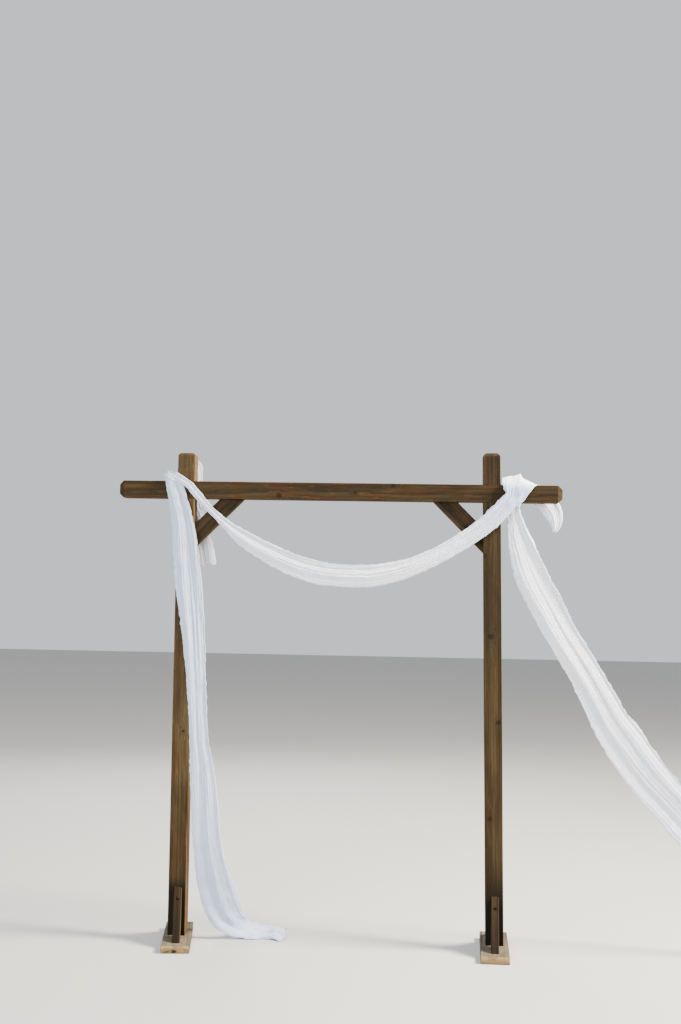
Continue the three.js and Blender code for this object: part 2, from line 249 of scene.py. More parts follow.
def makeKnot():
    # a branch that runs out through a face, and the grain that flows round it
    tree, given = newGroup("knot", Spot=(0, 0, 0), Place=(0, 0, 0), Branch=(0, -1, 0), Radius=0.012)
    spot, branch, size = given["Spot"], given["Branch"], given["Radius"]
    away = vectorNode(tree, "SUBTRACT", spot, given["Place"])
    deep = vectorNode(tree, "DOT_PRODUCT", away, branch)
    across = vectorNode(tree, "SUBTRACT", away, vectorNode(tree, "SCALE", branch, scale=deep))
    wobble = mathNode(tree, "MULTIPLY_ADD", noiseNode(tree, spot, (85, 85, 60)), 1.3, 0.45)
    far = mathNode(tree, "DIVIDE", vectorNode(tree, "LENGTH", across), size)
    far = mathNode(tree, "MULTIPLY", far, wobble)
    # a dark rim stands between the knot and the wood round it
    inner, outer = rangeNode(tree, far, 0.55, 0.92), rangeNode(tree, far, 0.98, 1.5, 1.0, 0.0)
    # the bend dies away fast across the grain and slowly along it
    long = vectorNode(tree, "LENGTH", vectorNode(tree, "MULTIPLY", across, (1, 1, 0.42)))
    reach = mathNode(tree, "DIVIDE", long, mathNode(tree, "MULTIPLY", size, 1.35))
    square = mathNode(tree, "POWER", reach, 2.0)
    fall = mathNode(tree, "EXPONENT", mathNode(tree, "MULTIPLY", square, -1.0))
    return givingOut(
        tree, Mask=rangeNode(tree, far, 0.45, 1.20, 1.0, 0.0), Rim=mathNode(tree, "MULTIPLY", inner, outer),
        Bend=mathNode(tree, "MULTIPLY", fall, mathNode(tree, "MULTIPLY", size, 1.7)),
    )


def makeArris():
    # how near a point is to a bar's long edges, and to its sawn ends
    tree, given = newGroup("arris", Section=(0, 0, 0), Spot=(0, 0, 0), Start=0.90)
    parts = axisNode(tree, vectorNode(tree, "ABSOLUTE", given["Section"]))
    corner = mathNode(tree, "SUBTRACT", mathNode(tree, "MINIMUM", parts[0], parts[1]), 0.06)
    corner = mathNode(tree, "MULTIPLY_ADD", noiseNode(tree, given["Spot"], (30, 30, 8)), 0.12, corner)
    middle = mathNode(tree, "ABSOLUTE", mathNode(tree, "SUBTRACT", parts[2], 0.5))
    return givingOut(
        tree, Edge=rangeNode(tree, corner, given["Start"], 1.0), End=rangeNode(tree, middle, 0.4985, 0.4995),
    )


sawnWood, knotGroup, arrisGroup = makeSawnWood(), makeKnot(), makeArris()


def newMaterial(name):
    material = bpy.data.materials.new(name)
    material.use_nodes = True
    return material, material.node_tree


def finishWith(tree, inputs, height, strength, distance):
    bumped = addNode(tree, "ShaderNodeBump", {"Strength": strength, "Distance": distance, "Height": height})
    fill(tree, tree.nodes["Principled BSDF"], {**inputs, "Normal": bumped.outputs["Normal"]})


# colours of one stained bar
stain = {
    "dark": shade(31, 25, 17),
    "middle": shade(58, 46, 29),
    "light": shade(88, 73, 46),
    "rust": shade(78, 49, 28),     # where the stain took redder
    "fleck": shade(106, 76, 40),   # short bare fibres
    "worn": shade(122, 82, 42),
    "end": shade(50, 36, 20),
    "knot": shade(28, 19, 11),
    "crack": shade(14, 10, 6),
    "footDark": shade(20, 16, 10),   # darker towards the foot
    # painted sunlight, for the face toward the key light
    "paintedSunlight": shade(150, 116, 70),
}


def stainedTimber(name, look):
    # foot is (from, to, strength) of the darkening towards the foot; the sun entry is the face that painted
    # sunlight lightens, and how strongly
    material, tree = newMaterial(name)
    spot, section = attributeNode(tree, "grain"), attributeNode(tree, "section")
    bend = mask = rim = 0.0
    for place, branch, radius in knotSockets(look):
        knot = placeGroup(tree, knotGroup, Spot=spot, Place=place, Branch=branch, Radius=radius)
        bend = mathNode(tree, "ADD", bend, knot["Bend"])
        mask = mathNode(tree, "MAXIMUM", mask, knot["Mask"])
        rim = mathNode(tree, "MAXIMUM", rim, knot["Rim"])
    wood = placeGroup(tree, sawnWood, Spot=spot, Bend=bend, Pitch=look["pitch"], Wander=look["wander"])
    arris = placeGroup(tree, arrisGroup, Section=section, Spot=spot, Start=0.93)
    patches = rangeNode(tree, noiseNode(tree, spot, (24, 24, 6), 3.0, 0.6), 0.46, 0.66)
    flecks = rangeNode(tree, noiseNode(tree, spot, (150, 150, 16), 3.0, 0.6), 0.58, 0.74)
    colour = layered(
        tree, stain["middle"],
        (wood["Blotch"], look["gold"], stain["light"]),
        (patches, look["rust"], stain["rust"]),
        (wood["Streaks"], look["depth"], stain["dark"]),
        (wood["Rings"], 0.45, stain["dark"]),
        (flecks, look["fleck"], stain["fleck"]),
    )
    # run is (from, to, tone, tone) of a change in tone along the bar
    tone = rangeNode(tree, wood["Fibre"], 0.3, 0.75, 0.76 * look["tone"], 1.22 * look["tone"])
    run = rangeNode(tree, axisNode(tree, section)["Z"], *look["run"])
    colour = mixNode(tree, 1.0, colour, mathNode(tree, "MULTIPLY", tone, run), "MULTIPLY")
    colour = layered(
        tree, colour,
        (mask, 0.80, stain["knot"]),
        (rim, 0.45, stain["crack"]),
        (arris["Edge"], look["wear"], stain["worn"]),
        (arris["End"], 0.55, stain["end"]),
        (wood["Crack"], 0.8, stain["crack"]),
    )
    # painted sunlight: the face toward the sun is mixed lighter, and the foot darkening is kept off it
    toward, paintedSunlight = look["sunny"]
    sunny = rangeNode(tree, vectorNode(tree, "DOT_PRODUCT", section, toward), 0.93, 0.98)
    # darker towards the foot
    if look["foot"]:
        low, high, strength = look["foot"]
        level = mathNode(tree, "SUBTRACT", axisNode(tree, objectPlace(tree))["Z"], 0.025)
        level = mathNode(tree, "MULTIPLY_ADD", noiseNode(tree, spot, (60, 60, 4)), 0.05, level)
        shaded = mathNode(tree, "SUBTRACT", 1.0, sunny)
        footDarkening = mathNode(tree, "MULTIPLY", rangeNode(tree, level, low, high, 1.0, 0.0), shaded)
        colour = layered(tree, colour, (footDarkening, strength, stain["footDark"]))
    finishWith(tree, {
        "Base Color": layered(tree, colour, (sunny, paintedSunlight, stain["paintedSunlight"])),
        "Roughness": rangeNode(tree, wood["Fibre"], 0.25, 0.8, 0.58, 0.78),
        "Specular IOR Level": 0.06,
    }, wood["Height"], 0.55, 0.0009)
    return material


weathered = {
    "pale": shade(106, 99, 84),
    "warm": shade(94, 79, 58),
    "grey": shade(68, 64, 56),
    "dark": shade(40, 35, 28),
    "end": shade(172, 142, 96),
}


def weatheredTimber(name, look):
    # unstained board, greyed by weather, with paler sawn ends and damp soaking up from below
    material, tree = newMaterial(name)
    spot, section, place = attributeNode(tree, "grain"), attributeNode(tree, "section"), objectPlace(tree)
    wood = placeGroup(tree, sawnWood, Spot=spot, Pitch=0.0048, Wander=0.016)
    arris = placeGroup(tree, arrisGroup, Section=section, Spot=spot, Start=0.86)
    # dirt patches, made stronger also as painted shade over the boards
    dirtAndShade = rangeNode(tree, noiseNode(tree, place, (14, 14, 30), 4.0, 0.6), 0.5, 0.75, 0.0, look["grime"])
    damp = rangeNode(tree, axisNode(tree, place)["Z"], 0.0, 0.036, 0.75, 0.0)
    colour = layered(
        tree, weathered["pale"],
        (wood["Blotch"], 1.0, weathered["grey"]),
        (wood["Streaks"], 0.55, weathered["warm"]),
        (wood["Rings"], 0.6, weathered["dark"]),
        (arris["Edge"], 0.35, weathered["pale"]),
        (arris["End"], 0.85, weathered["end"]),
        (wood["Crack"], 0.85, weathered["dark"]),
        (mathNode(tree, "ADD", damp, dirtAndShade), 0.8, weathered["dark"]),
    )
    roughness = rangeNode(tree, wood["Fibre"], 0.25, 0.8, 0.72, 0.92)
    inputs = {"Base Color": colour, "Roughness": roughness, "Specular IOR Level": 0.04}
    finishWith(tree, inputs, wood["Height"], 0.8, 0.0012)
    return material


def darkScrew():
    material, tree = newMaterial("darkScrew")
    place = objectPlace(tree)
    worn = noiseNode(tree, place, (500, 500, 500), 3.0, 0.6)
    rust = rangeNode(tree, noiseNode(tree, place, (160, 160, 160), 2.0), 0.52, 0.7)
    finishWith(tree, {
        "Base Color": layered(tree, shade(48, 46, 44), (rust, 0.7, shade(98, 62, 38))),
        "Roughness": rangeNode(tree, worn, 0.3, 0.7, 0.38, 0.62),
        "Metallic": 0.75,
    }, worn, 0.2, 0.0002)
    return material


cloth = {
    "light": shade(250, 249, 249),
    "thick": shade(237, 239, 245),   # where the layers behind show through
    # blue-grey for painted shade in creases and shaded stretches, and for the weave's slubs and pores
    "shadeAndWeave": shade(168, 184, 216),
    "threads": (0.0013, 0.0013 * 1.15),   # spacing of the open weave, across and along
}


def gauzeCloth():
    # open cotton weave with crinkled threads; the creases between folds carry painted shade, bluer and
    # darker
    material, tree = newMaterial("whiteGauze")
    weave = addNode(tree, "ShaderNodeUVMap", uv_map="weave").outputs["UV"]
    wander = mathNode(tree, "MULTIPLY", noiseNode(tree, weave, (90, 30, 1), 2.0), 0.004)
    moved = vectorNode(tree, "ADD", weave, vectorNode(tree, "SCALE", (1, 0.6, 0), scale=wander))
    # the higher of the two sets of threads at each point
    mesh = mathNode(tree, "MAXIMUM", *(
        mathNode(tree, "SINE", mathNode(tree, "MULTIPLY", part, math.tau / pitch))
        for part, pitch in zip(axisNode(tree, moved), cloth["threads"])
    ))
    crinkle = noiseNode(tree, weave, (210, 34, 1), 4.0, 0.6)
    slub = noiseNode(tree, weave, (520, 16, 1), 2.0)
    bands = noiseNode(tree, weave, (26, 1.5, 1), 2.0)
    mottle = rangeNode(tree, noiseNode(tree, weave, (46, 17, 1), 4.0, 0.6), 0.42, 0.72, 0.0, 0.22)
    # painted shade: creases and shaded stretches of each runner mixed toward the blue-grey, with random
    # mottle
    paintedFoldShade = mathNode(tree, "MULTIPLY_ADD", attributeNode(tree, "paintedFoldShade", "Fac"), 0.40, mottle)
    colour = layered(
        tree, cloth["light"],
        (rangeNode(tree, bands, 0.35, 0.65), 1.0, cloth["thick"]),
        (paintedFoldShade, 1.0, cloth["shadeAndWeave"]),
        (rangeNode(tree, slub, 0.42, 0.75), 0.22, cloth["shadeAndWeave"]),
        (rangeNode(tree, mesh, -0.9, 0.2, 1.0, 0.0), 0.25, cloth["shadeAndWeave"]),   # the open pores
    )
    finishWith(tree, {
        "Base Color": colour, "Roughness": 0.92, "Specular IOR Level": 0.2,
        "Sheen Weight": 0.25, "Sheen Roughness": 0.6,
    }, mathNode(tree, "MULTIPLY_ADD", mesh, 0.12, crinkle), 0.75, 0.0030)
    return material


screwFinish, gauzeFinish = darkScrew(), gauzeCloth()
print("finishes made")


# Timber: bars with eased edges, cut to each other as the real pieces are
lumber = {
    "square": 0.0889,         # a 4x4
    "board": 0.038,           # the thin side of a 2-by board
    "braceWide": 0.0889,      # the wide side of a 2x4
    "baseWide": 0.140,        # a 2x6
    "baseLong": 0.508,
    "ease": 0.0035,           # radius of the worn long edges
    "squareEnd": 0.05,        # how far the even rings of a bar's mesh stay from its ends
    "ringStep": 0.12,
    "seam": 0.0004,           # gap left at each cut joint
    "postBevel": {"left": (0.010, 0.011), "right": (0.015, 0.015)},
    "beamBevel": (0.021, 0.024),
    "kickerReach": 0.160,
    "kickerTop": 0.280,
    "braceLeg": 0.127,
    "footAllowance": 0.002,   # sawn off level at the foot
    "braceSpare": 0.055,      # what the cuts take off each end
    "kickerSpare": (0.09, 0.02),   # the same, below and above
    "postLong": {"left": 2.431, "right": 2.448},
    "rightLean": math.radians(0.98),
    "leftBaseTurn": math.radians(7.4),
    "rightBaseTurn": math.radians(-1.2),
}

half = lumber["square"] / 2
beamLow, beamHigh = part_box("crossbeam")
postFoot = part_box("left_post")[0][2]
beamUnder, beamTop = beamLow[2], beamHigh[2]
footAt = {mount["name"]: mount["pos_m"] for mount in frame["record"]["mounts"]}
rightFoot = footAt["right_foot"][0]
frameSlot = {entry["node"]: entry["material_slot"] for entry in frame["record"]["subparts"]}

postPlace = {
    "left": Matrix.Translation((0, 0, postFoot)),
    "right": Matrix.Translation((rightFoot, 0, postFoot)) @ Matrix.Rotation(-lumber["rightLean"], 4, "Y"),
}
postInverse = {side: place.inverted() for side, place in postPlace.items()}
footPlace = {
    "left": Matrix.Rotation(lumber["leftBaseTurn"], 4, "Z"),
    "right": Matrix.Translation((rightFoot, 0, 0)) @ Matrix.Rotation(lumber["rightBaseTurn"], 4, "Z"),
}


def barMesh(name, wide, thick, long, bevels):
    # bevels holds (inset, height) for the start and the end, or None for a square end
    (startIn, startHigh), (endIn, endHigh) = (bevel or (0.0, 0.0) for bevel in bevels)
    clear = startHigh + lumber["squareEnd"]
    count = max(1, round((long - 2 * clear) / lumber["ringStep"]))
    stations = [(clear + (long - 2 * clear) * step / count, 0.0) for step in range(count + 1)]
    if startHigh:
        stations.insert(0, (startHigh, 0.0))
    if endHigh:
        stations.append((long - endHigh, 0.0))
    stations = [(0.0, startIn), *stations, (long, endIn)]
    vertices = []
    for along, inset in stations:
        x, y = wide / 2 - inset, thick / 2 - inset
        vertices += [(-x, -y, along), (x, -y, along), (x, y, along), (-x, y, along)]
    faces = [(3, 2, 1, 0)]
    for ring in range(len(stations) - 1):
        for side in range(4):
            a, b = ring * 4 + side, ring * 4 + (side + 1) % 4
            faces.append((a, b, b + 4, a + 4))
    last = 4 * (len(stations) - 1)
    faces.append((last, last + 1, last + 2, last + 3))
    return meshFrom(name, vertices, faces)


def cutterBox(low, high, place=Matrix()):
    corners = [place @ Vector(corner) for corner in itertools.product(*zip(low, high))]
    faces = [(0, 1, 3, 2), (4, 6, 7, 5), (0, 4, 5, 1), (2, 3, 7, 6), (0, 2, 6, 4), (1, 5, 7, 3)]
    return linked("cutter", meshFrom("cutter", corners, faces))


def cutterRod(radius, start, end):
    mesh = bpy.data.meshes.new("cutter")
    rod = bmesh.new()
    axis = (end - start).normalized()
    place = Matrix.Translation((start + end) / 2) @ axis.to_track_quat("Z", "Y").to_matrix().to_4x4()
    bmesh.ops.create_cone(rod, cap_ends=True, segments=28, radius1=radius, radius2=radius,
                          depth=(end - start).length, matrix=place)
    rod.to_mesh(mesh)
    rod.free()
    return linked("cutter", mesh)


def cutBy(piece, cutters):
    for cutter in cutters:
        cut = piece.modifiers.new("cut", "BOOLEAN")
        cut.operation = "DIFFERENCE"
        cut.solver = "EXACT"
        cut.object = cutter
    applied(piece)
    for cutter in cutters:
        bpy.data.objects.remove(cutter)


def pieceName(node):
    # left_post becomes leftPostTimber
    first, *rest = node.split("_")
    return first + "".join(word.capitalize() for word in rest) + "Timber"


# how one bar's wood lies: pith is the tree's middle, across the bar, and shift slides the grain along
def barLook(pith, shift, **changes):
    return {
        "pith": pith, "shift": shift, "pitch": 0.0055, "wander": 0.022,
        "tone": 0.85, "gold": 0.55, "rust": 0.6, "depth": 0.75, "fleck": 0.5, "wear": 0.4,
        "foot": None, "sunny": ((1, 0, 0), 0.06), "run": (0, 1, 1, 1), "knots": [],
        **changes,
    }


def knotSockets(look):
    # each knot is given as x, y and z on the bar, and its radius; its branch runs out from the pith
    sockets = []
    for x, y, z, radius in look["knots"]:
        place = Vector((x - look["pith"][0], y - look["pith"][1], z + look["shift"]))
        branch = Vector((place.x, place.y, 0.02)).normalized()
        sockets.append((tuple(place), tuple(branch), radius))
    return sockets


def makeTimber(node, size, place, look, bevels=(None, None), cutters=()):
    wide, thick, long = size
    pith, shift = look["pith"], look["shift"]
    name = pieceName(node)
    piece = linked(name, barMesh(name, wide, thick, long, bevels))
    ease = piece.modifiers.new("eased edges", "BEVEL")
    ease.width = lumber["ease"]
    ease.segments = 3
    ease.limit_method = "ANGLE"
    ease.angle_limit = math.radians(25)
    applied(piece)
    piece.data.transform(place)
    cutBy(piece, list(cutters))
    local = place.inverted()
    piece.data.attributes.new("grain", "FLOAT_VECTOR", "POINT")
    piece.data.attributes.new("section", "FLOAT_VECTOR", "POINT")
    # looked up again, as adding the second one moves the first
    grain = piece.data.attributes["grain"].data
    section = piece.data.attributes["section"].data
    for vertex in piece.data.vertices:
        spot = local @ vertex.co
        grain[vertex.index].vector = (spot.x - pith[0], spot.y - pith[1], spot.z + shift)
        section[vertex.index].vector = (spot.x / wide * 2, spot.y / thick * 2, spot.z / long)
    piece.data.shade_smooth()
    normals = piece.modifiers.new("flat sides", "WEIGHTED_NORMAL")
    normals.keep_sharp = True
    piece.data.set_sharp_from_angle(angle=math.radians(35))
    applied(piece)
    finish = weatheredTimber if frameSlot[node] == "bare_timber" else stainedTimber
    piece.data.materials.append(finish(name, look))
    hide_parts(node)
    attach(piece, rootBody)
    return piece


screwLook = {
    "headRadius": 0.0065,
    "headHigh": 0.004,
    "shankRadius": 0.0032,
    "boreRadius": 0.008,
    "mouth": 0.09,            # how far the hole's cutter reaches past the head
    "kickerHead": (0.0, -0.0655, 0.227),
    "kickerPoint": (0.0, -0.0055, 0.227),
    "recess": 0.0026,
    "segments": 20,
    "seed": 7,
}


def screwEndsOf(node):
    # the head's outer face and the point; a kicker's screw turns with its foot
    if "kicker" in node:
        turn = Matrix.Rotation(math.pi if "rear" in node else 0.0, 4, "Z")
        place = footPlace[node.split("_")[0]] @ turn
        return place @ Vector(screwLook["kickerHead"]), place @ Vector(screwLook["kickerPoint"])
    low, high = (Vector(corner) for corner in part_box(node))
    size = high - low
    longest = max(range(3), key=lambda axis: size[axis])
    head = (low + high) / 2
    point = head.copy()
    headIsHigh = "_lap_" in node or node == "left_brace_post_screw"
    head[longest] = (high if headIsHigh else low)[longest]
    point[longest] = (low if headIsHigh else high)[longest]
    return head, point


screwEnds = {node: screwEndsOf(node) for node in frame["nodes"] if node.endswith("_screw")}


def counterbores(*nodes):
    cutters = []
    for node in nodes:
        head, point = screwEnds[node]
        outward = (head - point).normalized()
        start = head - outward * screwLook["headHigh"]
        cutters.append(cutterRod(screwLook["boreRadius"], start, head + outward * screwLook["mouth"]))
    return cutters


# each look's sun entry paints sunlight onto one face of the bar
postLooks = {
    "left": barLook(
        (0.07, 0.10), 0.4, pitch=0.0062, tone=1.20, gold=0.95, rust=0.5, depth=0.45, fleck=0.6, wear=0.5,
        # its run makes the lower post darker, partly as painted shade
        foot=(0.27, 0.34, 0.88), sunny=((1, 0, 0), 0.12), run=(0.10, 0.50, 0.62, 1.12),
        knots=[(0.012, -0.0445, 1.02, 0.008), (0.0445, 0.01, 1.9, 0.010), (-0.02, 0.0445, 1.3, 0.012)],
    ),
    "right": barLook(
        (-0.05, 0.085), 7.3, pitch=0.0058, wander=0.026, tone=0.77, gold=0.65, rust=0.12, depth=0.7,
        fleck=0.25, foot=(0.20, 0.52, 1.0), run=(0, 1, 1.03, 0.90),
        knots=[
            (-0.010, -0.0445, 1.527, 0.013), (0.026, -0.0445, 1.099, 0.011), (-0.019, -0.0445, 0.623, 0.011),
            (-0.0445, 0.0, 1.92, 0.012), (0.01, 0.0445, 0.9, 0.013),
        ],
    ),
}


def makePosts():
    room = (beamLow[0] - 1, beamHigh[0] + 1)
    posts = []
    for side, look in postLooks.items():
        lap = cutterBox((room[0], -1, beamUnder - lumber["seam"]), (room[1], 0, beamTop + lumber["seam"]))
        level = cutterBox((room[0], -1, postFoot - 0.1), (room[1], 1, postFoot))
        under = lumber["footAllowance"]
        place = postPlace[side] @ Matrix.Translation((0, 0, -under))
        long = lumber["postLong"][side] + under
        bores = counterbores(f"{side}_lap_upper_screw", f"{side}_lap_lower_screw")
        posts.append(makeTimber(
            f"{side}_post", (lumber["square"], lumber["square"], long), place, look,
            (None, lumber["postBevel"][side]), [lap, level, *bores],
        ))
    return posts


# its sun entry paints sunlight onto the beam's top
beamLook = barLook(
    (-0.02, 0.12), 3.1, pitch=0.0066, wander=0.03, tone=0.72, gold=0.45, rust=0.9, depth=0.6,
    sunny=((-1, 0, 0), 0.12), run=(0, 1, 1.18, 0.84),
    knots=[
        (-0.034, -0.0445, 1.403, 0.011), (0.004, -0.0445, 1.211, 0.007), (0.02, -0.0445, 0.36, 0.008),
        (0.0, 0.0445, 0.8, 0.012), (0.0445, 0.0, 1.7, 0.010),
    ],
)


def makeCrossbeam():
    place = Matrix.Translation((beamLow[0], 0, beamUnder + half)) @ Matrix.Rotation(math.radians(90), 4, "Y")
    wide = half + lumber["seam"]
    cutters = [cutterBox((-wide, 0, 1.5), (wide, 1, 3.0), post) for post in postPlace.values()]
    bevel = lumber["beamBevel"]
    return makeTimber(
        "crossbeam", (lumber["square"], lumber["square"], beamHigh[0] - beamLow[0]), place, beamLook,
        (bevel, bevel), cutters,
    )


def postRoom(side):
    wide = half + lumber["seam"]
    return cutterBox((-wide, -wide, -0.1), (wide, wide, 3), postPlace[side])


braceLooks = {
    "left": barLook((0.015, 0.075), 5.2, gold=0.5, depth=0.7, knots=[(0.02, -0.019, 0.22, 0.008)]),
    "right": barLook((0.03, 0.06), 9.4, gold=0.45, depth=0.8, knots=[(-0.01, -0.019, 0.16, 0.009)]),
}


def makeKneeBraces():
    leg = lumber["braceLeg"] + lumber["braceWide"] / math.sqrt(2)
    reach = lumber["braceLeg"] + lumber["braceWide"] * math.sqrt(2)
    spare = lumber["braceSpare"]
    size = (lumber["braceWide"], lumber["board"], leg * math.sqrt(2) + 2 * spare)
    braces = []
    for side, way in (("left", 1), ("right", -1)):
        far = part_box(f"{side}_knee_brace")[1 if way > 0 else 0][0]
        # the middle of the brace's lower end, on the post's face
        start = Vector((far - way * reach, 0, beamUnder - leg))
        along = Vector((way, 0, 1)).normalized()
        across = Vector((0, 1, 0)).cross(along)
        place = Matrix((across, along.cross(across), along)).transposed().to_4x4()
        place = Matrix.Translation(start - along * spare) @ place
        bores = counterbores(f"{side}_brace_post_screw", f"{side}_brace_beam_screw")
        under = cutterBox((-1, -1, beamUnder - lumber["seam"]), (3, 1, 3))
        braces.append(makeTimber(
            f"{side}_knee_brace", size, place, braceLooks[side], cutters=[under, postRoom(side), *bores],
        ))
    return braces


# each board's dirt strength also serves as painted shade
baseLooks = {
    "left": barLook((0.02, 0.07), 1.7, grime=1.0),
    "right": barLook((-0.03, 0.06), 12.6, grime=0.7),
}


def makeBaseBoards():
    boards = []
    lying = Matrix.Translation((0, -lumber["baseLong"] / 2, lumber["board"] / 2))
    lying @= Matrix.Rotation(math.radians(-90), 4, "X")
    for side, look in baseLooks.items():
        boards.append(makeTimber(
            f"{side}_base_board", (lumber["baseWide"], lumber["board"], lumber["baseLong"]),
            footPlace[side] @ lying, look,
        ))
    return boards


# a kicker's sun entry paints sunlight onto the face toward the key light
def kickerLook(number, paintedSunWay):
    return barLook(
        (0.02, 0.05), 2.2 + 1.9 * number, tone=0.64, gold=0.3, depth=0.9, foot=(0.05, 0.34, 0.8),
        sunny=((0, paintedSunWay, 0), 0.10),
    )


def makeKickers():
    kickers = []
    below, above = lumber["kickerSpare"]
    foot = Vector((0, -half - lumber["kickerReach"], lumber["board"]))
    head = Vector((0, -half, lumber["kickerTop"]))
    along = (head - foot).normalized()
    outward = Vector((0, -along.z, along.y))
    sideways = Vector((1, 0, 0))
    upright = Matrix((sideways.cross(along), sideways, along)).transposed().to_4x4()
    start = foot - outward * lumber["braceWide"] / 2 - along * below
    size = (lumber["braceWide"], lumber["board"], (head - foot).length + below + above)
    for side in ("left", "right"):
        for end, turn, paintedSunWay in (("front", 0.0, 1), ("rear", math.pi, -1)):
            name = f"{side}_{end}_kicker"
            place = footPlace[side] @ Matrix.Rotation(turn, 4, "Z") @ Matrix.Translation(start) @ upright
            under = cutterBox((-1, -1, -1), (3, 1, lumber["board"] + lumber["seam"]))
            cutters = [under, postRoom(side), *counterbores(f"{name}_screw")]
            kickers.append(makeTimber(name, size, place, kickerLook(len(kickers), paintedSunWay), cutters=cutters))
    return kickers


timbers = [*makePosts(), makeCrossbeam(), *makeKneeBraces(), *makeBaseBoards(), *makeKickers()]
print("timber cut,", len(timbers), "pieces")


# Screws: one small tree sets a head and a shank on every marked spot
def makeScrewTree():
    tree = bpy.data.node_groups.new("timberScrews", "GeometryNodeTree")
    newSockets(tree, "INPUT", [
        ("Geometry", "Geometry", None),
        ("Head radius", "Float", screwLook["headRadius"]),
        ("Head height", "Float", screwLook["headHigh"]),
        ("Shank radius", "Float", screwLook["shankRadius"]),
        ("Recess radius", "Float", screwLook["recess"]),
        ("Seed", "Int", screwLook["seed"]),
    ])
    newSockets(tree, "OUTPUT", [("Geometry", "Geometry", None)])
    given = addNode(tree, "NodeGroupInput").outputs

    def cone(sides, low, high, depth):
        inputs = {"Vertices": sides, "Radius Bottom": low, "Radius Top": high, "Depth": depth}
        return addNode(tree, "GeometryNodeMeshCone", inputs, fill_type="NGON").outputs["Mesh"]

    def raised(mesh, shift):
        return addNode(tree, "GeometryNodeTransform", {"Geometry": mesh, "Translation": shift}).outputs[0]

    def headHeights(share):
        lift = mathNode(tree, "MULTIPLY", given["Head height"], share)
        return addNode(tree, "ShaderNodeCombineXYZ", {"Z": lift}).outputs[0]

    def marked(name, kind):
        return addNode(tree, "GeometryNodeInputNamedAttribute", {"Name": name}, data_type=kind).outputs[0]

    def onPoints(instance, **inputs):
        inputs = {"Points": points, "Instance": instance, "Rotation": facing, **inputs}
        return addNode(tree, "GeometryNodeInstanceOnPoints", inputs).outputs["Instances"]

    # head: a washer head, its rim turned down, with a six-sided recess
    rim = mathNode(tree, "MULTIPLY", given["Head radius"], 0.86)
    head = cone(screwLook["segments"], given["Head radius"], rim, given["Head height"])
    recess = {"Vertices": 6, "Radius": given["Recess radius"], "Depth": given["Head height"]}
    recess = addNode(tree, "GeometryNodeMeshCylinder", recess, fill_type="NGON").outputs["Mesh"]
    parts = {"Mesh 1": head, "Mesh 2": raised(recess, headHeights(1.35))}
    cut = addNode(tree, "GeometryNodeMeshBoolean", parts, operation="DIFFERENCE", solver="EXACT")
    head = raised(cut.outputs["Mesh"], headHeights(-1.0))

    # shank: one unit long downward, stretched on each spot to that screw's own length
    shank = raised(cone(12, given["Shank radius"], given["Shank radius"], 1.0), (0, 0, -1.0))
    stretch = {"X": 1.0, "Y": 1.0, "Z": marked("shank", "FLOAT")}
    stretch = addNode(tree, "ShaderNodeCombineXYZ", stretch).outputs[0]

    points = addNode(tree, "GeometryNodeMeshToPoints", {"Mesh": given["Geometry"]}).outputs["Points"]
    turn = addNode(tree, "FunctionNodeRandomValue", {3: math.tau, "Seed": given["Seed"]}, data_type="FLOAT")
    spun = addNode(tree, "FunctionNodeAxisAngleToRotation", {"Angle": turn.outputs[1], "Axis": (0, 0, 1)})
    aligned = {"Vector": marked("axis", "FLOAT_VECTOR")}
    aligned = addNode(tree, "FunctionNodeAlignRotationToVector", aligned, axis="Z").outputs[0]
    both = {"Rotation": aligned, "Rotate By": spun.outputs[0]}
    facing = addNode(tree, "FunctionNodeRotateRotation", both, rotation_space="LOCAL").outputs[0]
    joined = addNode(tree, "GeometryNodeJoinGeometry", {"Geometry": onPoints(head)})
    fill(tree, joined, {"Geometry": onPoints(shank, Scale=stretch)})
    real = addNode(tree, "GeometryNodeRealizeInstances", {"Geometry": joined.outputs[0]})
    finish = {"Geometry": real.outputs[0], "Material": screwFinish}
    finish = addNode(tree, "GeometryNodeSetMaterial", finish)
    addNode(tree, "NodeGroupOutput", {"Geometry": finish.outputs[0]})
    return tree


def makeScrews():
    marks = meshFrom("timberScrews", [head for head, point in screwEnds.values()], [])
    marks.attributes.new("axis", "FLOAT_VECTOR", "POINT")
    marks.attributes.new("shank", "FLOAT", "POINT")
    # looked up again, as adding the second one moves the first
    axes = marks.attributes["axis"].data
    shanks = marks.attributes["shank"].data
    for index, (head, point) in enumerate(screwEnds.values()):
        axes[index].vector = (head - point).normalized()
        shanks[index].value = (head - point).length
    piece = linked("timberScrews", marks)
    piece.modifiers.new("screws", "NODES").node_group = makeScrewTree()
    applied(piece)
    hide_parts(*screwEnds)
    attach(piece, rootBody)
    return piece


makeScrews()
print("screws driven,", len(screwEnds))


